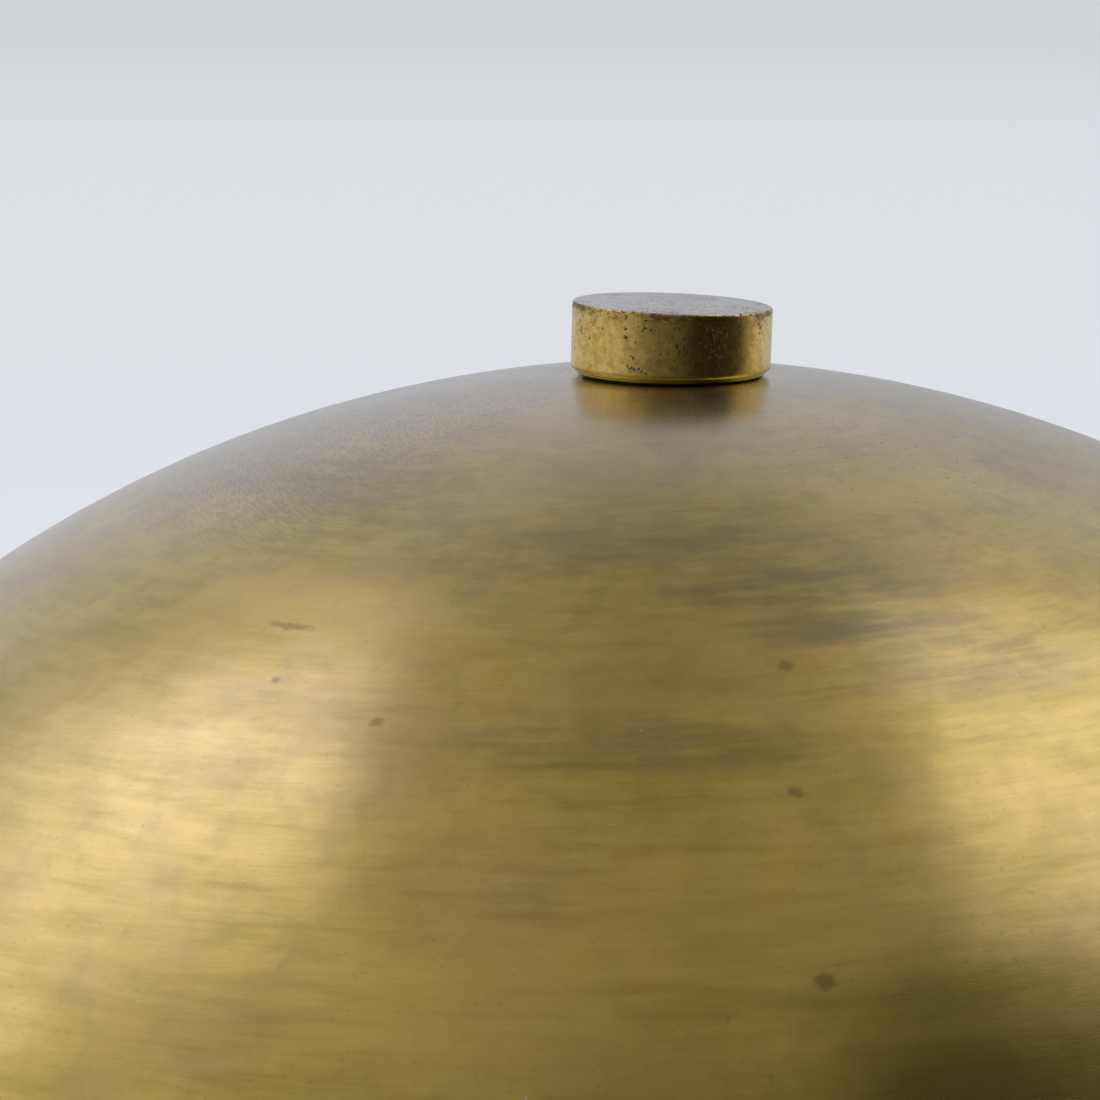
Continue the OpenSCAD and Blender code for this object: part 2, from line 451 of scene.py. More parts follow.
def shade_and_highlight_tone(s, tone, streaks, clouds):
    """Painted shade and painted highlight: ragged darker patches, some darker still, and lighter patches, at
    listed places on the dome.
    """
    ragged = s.ramp(s.add(s.times(streaks, 0.6), s.times(clouds, 0.4)), 0.36, 0.6)
    # painted shade: ragged patches darkened, and a second set darkened more
    painted_shade = s.times(stain_mask(s, SHADED_PATCHES, 0.0, 2.4), s.add(0.35, s.times(ragged, 0.65)))
    tone = s.mix(s.times(painted_shade, 0.55), tone, PAINTED_SHADE_BROWN)
    streaky = s.times(stain_mask(s, DEEP_SHADED_PATCHES, 0.0, 2.4), s.add(0.4, s.times(ragged, 0.6)))
    tone = s.mix(s.times(streaky, 0.8), tone, DEEP_SHADE_BROWN)
    # painted highlight: patches lightened towards bright brass
    return s.mix(s.times(stain_mask(s, HIGHLIGHT_PATCHES, 0.0, 2.4), 0.5), tone, BRASS_BRIGHT)


def dome_brass():
    """Spun brass, brushed round the axis and left to age."""
    s = Shader("dome_brass")
    height = dome_height(s)
    charts = polar_charts(s, height)
    hair = strokes(s, charts, 0.0042, 0.00026, radians(9), 2.0, 0.6)
    hair2 = strokes(s, charts, 0.0045, 0.0002, radians(-7), 1.0, 0.5, 3.1)
    streaks = strokes(s, charts, 0.011, 0.0019, radians(4), 4.0, 0.6, 11.0)
    bands = strokes(s, charts, 0.034, 0.0075, radians(3), 4.0, 0.6, 23.0)
    hatch = strokes(s, charts, 0.003, 0.00026, radians(-11), 1.0, 0.5, 17.0)
    upper = s.ramp(height, 0.045, 0.085, 1.0, 0.3)        # the scratches show most near the top
    left = s.ramp(s.math("ABSOLUTE", s.add(charts[0], radians(78))), radians(30), radians(52), 1.0, 0.0)
    hatched = s.times(left, s.ramp(height, 0.056, 0.074, 1.0, 0.0))
    clouds = s.noise(s.point, 75.0, 5.0, 0.62)
    blotch = s.noise(s.point, 26.0, 4.0, 0.6, 0.4)
    mottle = s.ramp(s.noise(s.point, 230.0, 3.0, 0.55, 0.3), 0.46, 0.66)
    # painted sheen: grey, strongest at the top and fading down the dome, standing in for the pale haze that
    # the brass shows at a grazing angle
    crown = s.ramp(s.add(height, s.times(s.minus(blotch, 0.5), 0.06)), 0.012, 0.08, 0.5, 0.0)
    pits = s.ramp(s.noise(s.point, 1500.0, 2.0, 0.5), 0.66, 0.71)
    pits = s.times(pits, s.add(0.25, stain_mask(s, PITTED)))
    stains = stain_mask(s, DOME_STAINS, 0.0, 5.0)
    stains = s.times(stains, stains)
    dust = s.ramp(s.cells(s.point, 160.0), 0.012, 0.03, 1.0, 0.0)
    age = s.add(s.times(streaks, 0.3), s.add(s.times(bands, 0.35), s.times(clouds, 0.35)))

    tone = aged_tone(s, age, streaks, bands, blotch)
    tone = s.mix(s.times(s.ramp(hair, 0.4, 0.7), s.times(upper, 0.3)), tone, BRASS_BROWN)
    tone = s.mix(s.times(mottle, s.add(0.08, s.times(upper, 0.29))), tone, BRASS_BROWN)
    tone = shade_and_highlight_tone(s, tone, streaks, clouds)
    tone = s.mix(crown, tone, CROWN_SHEEN_GREY)
    tone = s.mix(s.times(s.ramp(hatch, 0.44, 0.58), s.times(hatched, 0.5)), tone, SCRATCH_BROWN)
    tone = s.mix(s.times(pits, 0.5), tone, TARNISH)
    tone = s.mix(s.times(stains, 0.7), tone, STAIN_BROWN)
    tone = s.mix(s.times(dust, 0.6), tone, DUST_GREY)

    rough = s.blend(s.ramp(age, 0.35, 0.65), 0.235, 0.28)
    rough = s.add(rough, s.times(s.minus(hair2, 0.5), s.times(upper, 0.08)))
    rough = s.blend(s.times(stains, 0.6), rough, 0.36)
    rough = s.math("MAXIMUM", rough, s.times(dust, 0.6))

    ridges = s.times(s.minus(0.5, hatch), s.times(hatched, 2.5))
    scratch = s.add(s.add(s.times(hair, 0.6), s.times(hair2, 0.4)), ridges)
    normal = s.bump(s.times(scratch, upper), 0.00003, 0.5)
    normal = s.bump(s.minus(1.0, pits), 0.00002, 0.4, normal)
    s.set(Base_Color=tone, Metallic=1.0, Roughness=rough, Normal=normal)
    s.set(Coat_Weight=0.88, Coat_IOR=1.5, Coat_Roughness=0.22)
    s.brushed_round(0.6)
    return s.material


def knob_dirt(s, front, level, on_side, on_top):
    """Dark pits, crowded near the top edge and on one side, patches under that edge, and a film of grime."""
    high_up = s.ramp(level, (KNOB_Z + 1.5) * MM, (KNOB_TOP - 0.8) * MM)
    worst = s.ramp(s.math("ABSOLUTE", s.add(front, radians(14))), radians(8), radians(40), 1.0, 0.0)
    crowd = s.times(s.minus(s.noise(s.point, 260.0, 4.0, 0.65), 0.5), 0.5)
    crowding = s.add(s.times(high_up, 0.03), s.add(s.times(worst, 0.035), crowd))
    speck = s.noise(s.point, 2400.0, 4.0, 0.62, 0.4)
    pits = s.ramp(s.minus(speck, s.minus(0.635, crowding)), 0.0, 0.05)
    pits = s.times(pits, s.math("MAXIMUM", on_side, on_top))
    under_edge = s.ramp(level, (KNOB_TOP - 1.6) * MM, (KNOB_TOP - 0.5) * MM)
    worn = s.noise(s.scaled(s.point, (420.0, 420.0, 900.0)), 1.0, 4.0, 0.7)
    patina = s.times(s.times(under_edge, s.ramp(worn, 0.46, 0.58)), s.minus(1.0, on_top))
    grime = s.ramp(s.noise(s.point, 900.0, 4.0, 0.65), 0.46, 0.66)
    return s.math("MAXIMUM", pits, s.math("MAXIMUM", s.times(patina, 0.85), s.times(grime, 0.22)))


def knob_brass():
    """Turned brass, tinted deep yellow on its chamfer as painted reflection of the dome's brass, freckled
    with dark pits on its side, and dull on top, painted grey there as reflection of the pale background.
    """
    s = Shader("knob_brass")
    x, _, z = s.axes()
    level = s.add(z, s.times(x, tan(radians(TOP_TILT))))      # height, as if the top were square
    on_top = s.ramp(level, (KNOB_TOP - 0.12) * MM, (KNOB_TOP - 0.02) * MM)
    on_side = s.ramp(z, (KNOB_Z + KNOB_CHAMFER) * MM, (KNOB_Z + KNOB_CHAMFER + 0.2) * MM)
    charts = polar_charts(s, s.minus(z, s.from_axis()))
    hair = strokes(s, charts, 0.02, 0.00012, radians(1), 2.0, 0.6)
    streaky = strokes(s, charts, 0.006, 0.0012, radians(3), 4.0, 0.6, 5.0)
    clouds = s.noise(s.point, 330.0, 4.0, 0.6)
    dirt = knob_dirt(s, charts[0], level, on_side, on_top)
    singed = s.ramp(s.math("ABSOLUTE", s.minus(charts[0], radians(40))), radians(6), radians(24), 1.0, 0.0)
    singed = s.times(s.times(singed, on_side), s.ramp(clouds, 0.38, 0.56))

    tone = s.mix(s.ramp(streaky, 0.35, 0.65), rgb(0.82, 0.57, 0.165), rgb(0.64, 0.43, 0.11))
    tone = s.mix(s.times(s.ramp(hair, 0.5, 0.72), 0.18), tone, BRASS_BROWN)
    # painted reflection: the chamfer is tinted deep yellow to stand in for the dome's brass reflected in it
    tone = s.mix(s.times(s.minus(1.0, on_side), 0.8), tone, rgb(0.60, 0.46, 0.05))
    tone = s.mix(s.times(singed, 0.55), tone, rgb(0.46, 0.25, 0.03))
    # partly a dull patina, and partly painted reflection: the top is painted pale grey for the pale
    # background that it reflects at a grazing angle
    tone = s.mix(s.times(on_top, 0.9), tone, rgb(0.76, 0.735, 0.68))
    tone = s.mix(s.times(dirt, 0.85), tone, rgb(0.05, 0.034, 0.018))
    rough = s.blend(s.ramp(clouds, 0.35, 0.7), 0.2, 0.3)
    rough = s.blend(dirt, rough, 0.5)
    normal = s.bump(s.minus(s.times(hair, 0.3), dirt), 0.00003, 0.5)
    s.set(Base_Color=tone, Metallic=1.0, Roughness=rough, Normal=normal)
    s.set(Coat_Weight=0.15, Coat_IOR=1.5, Coat_Roughness=0.2)
    s.brushed_round(0.4)
    return s.material


def turned_metal(name, light, dark, rough_low, rough_high):
    """Small turned or rolled hardware: fine rings, a few dull patches and specks."""
    s = Shader(name)
    charts = polar_charts(s, s.minus(s.axes()["Z"], s.from_axis()))
    rings = strokes(s, charts, 0.03, 0.00015, 0.0, 2.0)
    patches = s.noise(s.point, 260.0, 3.0, 0.6)
    tone = s.mix(s.ramp(s.add(s.times(rings, 0.5), s.times(patches, 0.5)), 0.38, 0.62), light, dark)
    rough = s.blend(s.ramp(patches, 0.4, 0.65), rough_low, rough_high)
    s.set(Base_Color=tone, Metallic=1.0, Roughness=rough, Normal=s.bump(rings, 0.00001, 0.5))
    return s.material


def black_fibre():
    """Vulcanised fibre: dark, dull and faintly mottled, made near black so that the washer under the knob
    stands in for the shade line in the gap under its foot.
    """
    s = Shader("black_fibre")
    mottle = s.noise(s.point, 1500.0, 3.0, 0.6)
    tone = s.mix(s.ramp(mottle, 0.35, 0.7), rgb(0.012, 0.010, 0.008), rgb(0.035, 0.03, 0.024))
    s.set(Base_Color=tone, Roughness=0.65, Normal=s.bump(mottle, 0.00004, 0.5))
    return s.material


# ---------------------------------------------------------------- wood and felt

def walnut(name, light, dark, shift):
    """Turned walnut: grain along X, growth rings, and fine pores."""
    s = Shader(name)
    moved = s.new("ShaderNodeVectorMath", operation="ADD")
    s.put(moved.inputs[0], s.point)
    moved.inputs[1].default_value = shift
    grain = s.scaled(moved.outputs[0], (3.2, 22.0, 22.0))
    warp = s.noise(grain, 1.0, 3.0, 0.5)
    _, y, z = s.axes(moved.outputs[0])
    from_heart = s.math("SQRT", s.add(s.times(y, y), s.times(z, z)))
    rings = s.math("SINE", s.times(s.add(from_heart, s.times(warp, 0.035)), 780.0))
    late = s.ramp(rings, -0.2, 0.95)
    fibres = s.noise(s.scaled(moved.outputs[0], (25.0, 900.0, 900.0)), 1.0, 3.0, 0.6)
    pores = s.ramp(s.noise(s.scaled(moved.outputs[0], (110.0, 2600.0, 2600.0)), 1.0, 1.0), 0.62, 0.7)
    tone = s.mix(s.add(s.times(late, 0.55), s.times(s.ramp(fibres, 0.3, 0.7), 0.45)), light, dark)
    tone = s.mix(s.times(pores, 0.7), tone, rgb(0.012, 0.007, 0.004))
    rough = s.blend(s.ramp(fibres, 0.3, 0.7), 0.34, 0.46)
    s.set(Base_Color=tone, Roughness=rough, Coat_Weight=0.25, Coat_Roughness=0.25)
    s.set(Normal=s.bump(s.minus(s.times(fibres, 0.3), pores), 0.00012, 0.5))
    return s.material


def felt(name, light, dark, fleck):
    """Pressed wool felt: matted fibres, with lighter flecks."""
    s = Shader(name)
    lie = s.noise(s.point, 180.0, 3.0, 0.6, 0.6)
    mat = s.noise(s.point, 2400.0, 3.0, 0.65, 1.5)
    threads = s.ramp(s.noise(s.scaled(s.point, (3800.0, 900.0, 1500.0)), 1.0, 2.0, 0.5, 2.0), 0.6, 0.72)
    tone = s.mix(s.add(s.times(lie, 0.35), s.times(s.ramp(mat, 0.3, 0.7), 0.65)), dark, light)
    tone = s.mix(s.times(threads, 0.5), tone, fleck)
    s.set(Base_Color=tone, Roughness=0.95, Sheen_Weight=0.35, Sheen_Roughness=0.5)
    s.set(Normal=s.bump(s.add(mat, s.times(threads, 0.5)), 0.0003, 0.7))
    return s.material


# ---------------------------------------------------------------- pieces

def dome_profile():
    """The shell's cross-section, from the hole's upper edge round the outside, the curl and the inside."""
    seat_r = sqrt(DOME_R ** 2 - (DOME_R - SEAT_DROP) ** 2)
    seat_angle = degrees(asin(seat_r / DOME_R))
    inner_r = DOME_R - SHEET_T
    inner_angle = degrees(asin(sqrt(inner_r ** 2 - (inner_r - SEAT_DROP) ** 2) / inner_r))
    edge = 1.4          # width of the soft edge between seat and sphere
    seat = [(HOLE_R, SEAT_Z - 0.15), (HOLE_R + 0.15, SEAT_Z)]
    seat += line((HOLE_R + 0.15, SEAT_Z), (seat_r - edge, SEAT_Z), 8)[1:]
    shoulder = []
    turn_to = seat_angle + degrees(edge / DOME_R)
    end = (DOME_R * sin(radians(turn_to)), CENTRE_Z + DOME_R * cos(radians(turn_to)))
    for i in range(7):
        t = i / 6
        a, b, c = (1 - t) ** 2, 2 * t * (1 - t), t ** 2
        start, knee = (seat_r - edge, SEAT_Z), (seat_r, SEAT_Z)
        shoulder.append(tuple(a * start[k] + b * knee[k] + c * end[k] for k in (0, 1)))
    sphere = arc(0, CENTRE_Z, DOME_R, 90 - turn_to, 0, 118)[1:]
    meet = degrees(pi - asin(sqrt(BEAD_R ** 2 - (BEAD_X - DOME_R) ** 2) / BEAD_R))
    meet_z = BEAD_Z + sqrt(BEAD_R ** 2 - (BEAD_X - DOME_R) ** 2)
    skirt = line((DOME_R, CENTRE_Z), (DOME_R, meet_z), 10)[1:]
    curl_r = BEAD_R - SHEET_T
    slit, half_slit = 120.0, 2.75       # where the curl's seam is, in degrees round it, and half its width
    curl = arc(BEAD_X, BEAD_Z, BEAD_R, meet, slit + half_slit, 3)
    curl += arc(BEAD_X, BEAD_Z, curl_r, slit + half_slit, slit - half_slit + 360, 40)
    curl += arc(BEAD_X, BEAD_Z, BEAD_R, slit - half_slit, -180, 40)
    inside = line((DOME_R - SHEET_T, BEAD_Z), (DOME_R - SHEET_T, CENTRE_Z), 10)[1:]
    inside += arc(0, CENTRE_Z, inner_r, 0, 90 - inner_angle, 60)
    inner_z = SEAT_Z - SHEET_T
    inside += line((inner_r * sin(radians(inner_angle)), inner_z), (HOLE_R + 0.1, inner_z), 5)[1:]
    inside += [(HOLE_R + 0.1, inner_z), (HOLE_R, inner_z + 0.1)]
    return seat + shoulder + sphere + skirt + curl + inside


def spun(r, z, angle):
    """The faint rings that spinning leaves in the sheet, and the hand that held the tool."""
    polar = atan2(r, max(z - CENTRE_Z, 1e-6))
    down = DOME_R * polar + max(0.0, CENTRE_Z - z)
    fade = min(1.0, max(0.0, (down - 22) / 20)) * min(1.0, max(0.0, (z - BEAD_Z - 6) / 10))
    wave = 0.010 * sin(down * 0.83 + 0.4 * sin(angle * 2)) + 0.006 * sin(down * 1.9 + 1.1 * sin(angle))
    wave += 0.03 * sin(down * 0.11 + 1.0) * sin(angle * 3 + 0.5)
    scale = 1 + fade * wave / DOME_R
    return r * scale, CENTRE_Z + (z - CENTRE_Z) * scale if z > CENTRE_Z else z


def make_dome():
    return lathe("dome_shell", dome_profile(), 320, spun)


def make_rim_wire():
    """The wire in the curl, butted end to end."""
    steps, sides, gap = 256, 20, radians(0.15)
    sections = []
    for i in range(steps + 1):
        angle = gap + (TURN - 2 * gap) * i / steps
        section = []
        for x, z in [(WIRE_R * cos(TURN * k / sides), WIRE_R * sin(TURN * k / sides)) for k in range(sides)]:
            section.append(((BEAD_X + x) * cos(angle), (BEAD_X + x) * sin(angle), BEAD_Z + z))
        sections.append(section)
    return open_ring("rim_wire", sections)


def make_knob():
    """The knob: flat top with a rounded edge, chamfered foot with two grooves, threaded blind bore."""
    edge, chamfer, bore = 0.4, KNOB_CHAMFER, STUD_R + 0.05
    depth = STUD_TOP - KNOB_Z + 0.4
    tip = bore * 0.35
    top = [(0, KNOB_TOP)] + [(r, KNOB_TOP) for r in (1.0, 3.0, 5.5, 8.0, 10.0, 11.0)]
    top += arc(KNOB_R - edge, KNOB_TOP - edge, edge, 90, 0, 9)
    side = line((KNOB_R, KNOB_TOP - edge), (KNOB_R, KNOB_Z + chamfer + 0.12), 30)[1:]
    foot = [(KNOB_R, KNOB_Z + chamfer + 0.12), (KNOB_R - 0.03, KNOB_Z + chamfer)]
    for share in (0.33, 0.62):      # two turned grooves round the chamfer
        for step, sink in ((-0.07, 0.0), (-0.035, 0.05), (0.0, 0.075), (0.035, 0.05), (0.07, 0.0)):
            t = share + step
            foot.append((KNOB_R - chamfer * t - sink * 0.7, KNOB_Z + chamfer * (1 - t) + sink * 0.7))
    foot += [(KNOB_R - chamfer + 0.03, KNOB_Z + 0.03), (KNOB_R - chamfer - 0.05, KNOB_Z)]
    under = [(r, KNOB_Z) for r in (10.0, 8.0, 6.0, 4.5)]
    mouth = [(bore + 0.4, KNOB_Z), (bore + 0.05, KNOB_Z + 0.35)]
    rows = int(depth / PITCH * 12)
    wall = [(bore, KNOB_Z + 0.4 + (depth - 0.4) * i / rows) for i in range(rows + 1)]
    drill = [(bore * 0.5, KNOB_Z + depth + tip * 0.5), (0, KNOB_Z + depth + tip)]

    def shape(r, z, angle):
        if abs(r - bore) < 1e-6:
            groove = 0.3 * thread_depth(z - STUD_Z, angle, PITCH)
            return r + groove * min(1.0, max(0.0, (KNOB_Z + depth - z) / 0.5)), z
        return r, z

    knob = lathe("knob", top + side + foot + under + mouth + wall + drill, 256, shape)
    # It has been knocked: its body leans to +X over its foot, and its top is out of square with it.
    # The bore and the middle of the foot stay true.
    height, true_r, fade = KNOB_TOP - KNOB_Z, 4.5, 4.0
    for vertex in knob.data.vertices:
        x, y, z = vertex.co / MM
        if hypot(x, y) > true_r + fade or z > KNOB_Z + depth + tip + 0.1:
            up = (z - KNOB_Z) / height
            out = min(1.0, max(0.0, (hypot(x, y) - true_r) / fade)) if z < KNOB_Z + depth else 1.0
            vertex.co.x += up * out * height * tan(radians(LEAN)) * MM
            vertex.co.z -= x * out * tan(radians(FOOT_TILT + up * (TOP_TILT - FOOT_TILT))) * MM
    return knob


def make_stud():
    """An M6 stud: a rolled thread from end to end, and both ends chamfered."""
    root, chamfer = 0.54, 0.6
    rows = int((STUD_TOP - STUD_Z) / PITCH * 20)
    low = [(0, STUD_Z), (1.2, STUD_Z), (STUD_R - chamfer, STUD_Z)]
    wall = [(STUD_R, STUD_Z + (STUD_TOP - STUD_Z) * i / rows) for i in range(1, rows)]
    high = [(STUD_R - chamfer, STUD_TOP), (1.2, STUD_TOP), (0, STUD_TOP)]

    def shape(r, z, angle):
        if r < STUD_R - 1e-6:
            return r, z
        end = STUD_R - chamfer + min(z - STUD_Z, STUD_TOP - z)
        return min(end, STUD_R - root * thread_depth(z - STUD_Z, angle, PITCH)), z

    return lathe("knob_stud", low + wall + high, 72, shape, sharp=50)


def make_nut():
    """A hexagon nut, chamfered at both ends, with its thread inside."""
    flats = NUT_R * cos(pi / 6)
    bore = STUD_R + 0.02
    face, height = flats - 0.1, NUT_TOP - NUT_Z
    rows = int(height / PITCH * 16)
    bottom = [(bore + 0.35, NUT_Z)] + [(r, NUT_Z) for r in (4.0, 4.6)] + [(face, NUT_Z)]
    wall = []
    for t in (0.0, 0.04, 0.08, 0.12, 0.2, 0.35, 0.5, 0.65, 0.8, 0.88, 0.92, 0.96, 1.0):
        wall.append((NUT_R, NUT_Z + height * t))
    top = [(face, NUT_TOP)] + [(r, NUT_TOP) for r in (4.6, 4.0)] + [(bore + 0.35, NUT_TOP)]
    inner = [(bore, NUT_TOP - 0.3 - (height - 0.6) * i / rows) for i in range(rows + 1)]

    def shape(r, z, angle):
        if abs(r - bore) < 1e-6:
            return bore + 0.3 * thread_depth(z - STUD_Z, angle, PITCH), z
        if r < NUT_R - 1e-6:
            return r, z
        a = (angle + pi / 6) % (pi / 3) - pi / 6
        hexagon = flats / cos(a - pi / 6 if a > 0 else a + pi / 6)
        end = min(z - NUT_Z, NUT_TOP - z)
        return min(hexagon, face + end * sqrt(3)), z

    return lathe("stud_nut", bottom + wall + top + inner, 192, shape, sharp=25)


def make_lock_washer():
    """A split spring washer, pressed nearly flat, with square cut ends that stand a little apart."""
    inner, slit, soft, steps = STUD_R + 0.1, 0.8, 0.15, 120
    sections = []
    for i in range(steps + 1):
        section = []
        for r, z in rounded_section(inner, LOCK_R, LOCK_Z, LOCK_TOP, soft, 4):
            gap = asin(slit / 2 / r)
            angle = gap + (TURN - 2 * gap) * i / steps
            section.append((r * cos(angle), r * sin(angle), z))
        sections.append(section)
    return open_ring("lock_washer", sections)


def make_washer(name, inner, outer, low, high, soft):
    """A flat ring with rounded edges."""
    return lathe(name, rounded_section(inner, outer, low, high, soft, 5), 128)


def screw_places():
    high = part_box("deck_screws")[1]
    circle = (high.x / MM - SCREW_HEAD_R) * sqrt(2)
    return [(circle * cos(a), circle * sin(a)) for a in (pi / 4 + i * pi / 2 for i in range(4))]


def make_screw(x, y, turn):
    """A countersunk wood screw, head down: cross recess, plain neck, coarse thread and a gimlet point."""
    pitch, core = 1.8, 0.62
    neck = SCREW_Z + SCREW_HEAD_RIM + SCREW_HEAD_R - SCREW_R
    start = neck + 5.5          # where the thread begins to cut in
    head = [(0, SCREW_Z), (SCREW_HEAD_R - 0.15, SCREW_Z), (SCREW_HEAD_R, SCREW_Z + 0.15)]
    head += [(SCREW_HEAD_R, SCREW_Z + SCREW_HEAD_RIM), (SCREW_R, neck)]
    rows = int((SCREW_TOP - neck) / pitch * 14)
    wall = [(SCREW_R, neck + (SCREW_TOP - neck) * i / rows) for i in range(1, rows)]

    def shape(r, z, angle):
        if z <= neck or r < 1e-6:
            return r, z
        taper = SCREW_R * min(1.0, (SCREW_TOP - z) / SCREW_TIP)
        depth = core * min(1.0, max(0.0, (z - start) / 1.5)) * thread_depth(z, angle, pitch, 0.1)
        return max(0.06, taper - depth * taper / SCREW_R), z

    screw = lathe("screw", head + wall + [(0, SCREW_TOP)], 40, shape, sharp=45)
    recess = [(SCREW_Z - 1, 2.2, 0.55), (SCREW_Z + 1.8, 0.99, 0.385)]       # height, half length, half width
    corners = ((-1, -1), (1, -1), (1, 1), (-1, 1))
    verts = [(sx * long, sy * wide, z) for z, long, wide in recess for sx, sy in corners]
    faces = [(0, 1, 2, 3), (4, 5, 6, 7), (0, 1, 5, 4), (1, 2, 6, 5), (2, 3, 7, 6), (3, 0, 4, 7)]
    cutters = []
    for arm in (0, 1):      # the two arms of the cross
        cutter = add_mesh("cutter", verts, faces)
        cutter.data.transform(Matrix.Rotation(arm * pi / 2, 4, "Z"))
        cutters.append(cutter)
    cut_away(screw, cutters)
    screw.data.transform(Matrix.Translation((x * MM, y * MM, 0)) @ Matrix.Rotation(turn, 4, "Z"))
    return screw


def make_screws():
    return joined("deck_screws", [make_screw(x, y, 0.4 + 1.3 * i) for i, (x, y) in enumerate(screw_places())])


def hole_cutters(places, profile):
    """One turned cutter at each place."""
    cutters = []
    for x, y in places:
        cutter = lathe("cutter", profile, 48)
        cutter.data.transform(Matrix.Translation((x * MM, y * MM, 0)))
        cutters.append(cutter)
    return cutters


def make_board():
    """The turned board: chamfered foot, a fine bead line round its side, softly rounded top edge."""
    chamfer, edge = 4.0, 3.0
    top = [(0, BOARD_TOP)] + [(r, BOARD_TOP) for r in (30, 60, 90, 120, 145, 158, 163)]
    top += arc(BOARD_R - edge, BOARD_TOP - edge, edge, 90, 0, 12)
    groove_z, groove = BOARD_Z + 7.5, 0.7
    side = [(BOARD_R, groove_z + 3.0), (BOARD_R, groove_z + groove + 0.1)]
    side += arc(BOARD_R + 0.1, groove_z, groove, 98, 262, 9)
    side += [(BOARD_R, groove_z - groove - 0.1), (BOARD_R, BOARD_Z + chamfer + 0.3)]
    foot = [(BOARD_R - 0.12, BOARD_Z + chamfer - 0.08), (BOARD_R - chamfer + 0.2, BOARD_Z + 0.1)]
    foot += [(BOARD_R - chamfer - 0.1, BOARD_Z)] + [(r, BOARD_Z) for r in (150, 120, 90, 60, 30)]
    board = lathe("base_board", top + side + foot + [(0, BOARD_Z)], 256)
    head, shank = SCREW_HEAD_R + 0.25, SCREW_R + 0.25
    rim = SCREW_Z + SCREW_HEAD_RIM
    hole = [(0, BOARD_Z - 1), (head, BOARD_Z - 1), (head, rim), (shank, rim + head - shank)]
    hole += [(shank, BOARD_TOP + 1), (0, BOARD_TOP + 1)]
    cut_away(board, hole_cutters(screw_places(), hole))
    return board


def make_deck():
    """The raised deck, with pilot holes for its screws."""
    top = [(0, DECK_TOP)] + [(r, DECK_TOP) for r in (30, 60, 90, 120, 140)]
    top += arc(DECK_R - 1, DECK_TOP - 1, 1, 90, 0, 8)
    foot = [(DECK_R, DECK_Z + 4), (DECK_R, DECK_Z + 0.5), (DECK_R - 0.5, DECK_Z)]
    foot += [(r, DECK_Z) for r in (130, 100, 60, 30)]
    deck = lathe("deck_disc", top + foot + [(0, DECK_Z)], 256)
    tip = SCREW_TOP - SCREW_TIP
    hole = [(0, DECK_Z - 1), (SCREW_R, DECK_Z - 1), (SCREW_R, tip), (0, SCREW_TOP)]
    cut_away(deck, hole_cutters(screw_places(), hole))
    return deck


def make_felt(name, inner, outer, low, high, rings, segments, lumps):
    """A cut sheet of felt: soft lumps in its faces, and edges that fray in and out a little."""
    soft = (high - low) * 0.3
    step = (outer - inner - 2 * soft) / rings
    across = [inner + soft + step * i for i in range(rings + 1)]
    section = []
    if inner > 0:
        section += arc(inner + soft, high - soft, soft, 180, 90, 4)
        section += [(r, high) for r in across[1:-1]]
    else:
        section += [(0, high)] + [(r, high) for r in across[1:-1]]
    section += arc(outer - soft, high - soft, soft, 90, 0, 4)
    section += arc(outer - soft, low + soft, soft, 0, -90, 4)
    section += [(r, low) for r in reversed(across[1:-1])]
    if inner > 0:
        section += arc(inner + soft, low + soft, soft, 270, 180, 4)
    else:
        section += [(0, low)]

    def shape(r, z, angle):
        x, y = r * cos(angle), r * sin(angle)
        lump = sin(x * 0.9 + 2 * sin(y * 0.4)) * sin(y * 0.8 + 1.5 * sin(x * 0.5))
        fray = 0.12 * sin(angle * 97) * sin(angle * 41 + 1) if r > outer - soft - 1e-6 else 0.0
        sink = lumps * (0.5 + 0.5 * lump) if z > (low + high) / 2 else 0.0
        return r - abs(fray), z - sink

    return lathe(name, section, segments, shape, sharp=60)


# ---------------------------------------------------------------- the stage

SIDE_WALL = rgb(0.61, 0.62, 0.64)
UNLIT = rgb(0.008, 0.007, 0.006)

# What the metal sees of the studio, each over the ones before: azimuth and elevation of its middle, degrees
# from there within which the colour is full and beyond which there is none, its share, and the colour.
STUDIO = [
    (158, 12, 8, 28, 0.65, rgb(0.37, 0.38, 0.40)),
    (-95, 34, 12, 62, 0.7, SIDE_WALL), (112, 34, 12, 58, 0.7, SIDE_WALL),
    (180, 31, 4, 18, 0.2, rgb(0.70, 0.71, 0.74)), (-154, 44, 3, 18, 0.4, SIDE_WALL),
    (8, 0, 12, 78, 0.93, rgb(0.15, 0.145, 0.13)), (35, 77, 5, 20, 0.28, rgb(0.42, 0.40, 0.35)),
    (57, -11, 25, 49, 0.945, UNLIT), (28, -8, 6, 36, 0.5, UNLIT), (0, 22, 10, 37, 0.5, UNLIT),
    (58, 42, 20, 30, 0.98, UNLIT),
]

# Area lights: azimuth, elevation, distance, width and height in metres, roll, radiance and colour.
SOFTBOXES = {
    "softbox_left": (-106, 48.3, 1.3, 0.74, 0.73, 4, 0.65, (0.94, 1.0, 1.7)),
    "softbox_left_core": (-112, 54.8, 1.2, 0.32, 0.46, 4, 0.38, (0.95, 1.0, 2.6)),
    "softbox_right": (109, 50, 1.3, 0.88, 0.9, 0, 0.76, (0.95, 1.0, 1.42)),
}


def towards(azimuth, elevation):
    """A direction from the dome. Azimuth 0 is towards the camera, + to its right."""
    a, e = radians(azimuth), radians(elevation)
    return Vector((sin(a) * cos(e), -cos(a) * cos(e), sin(e)))


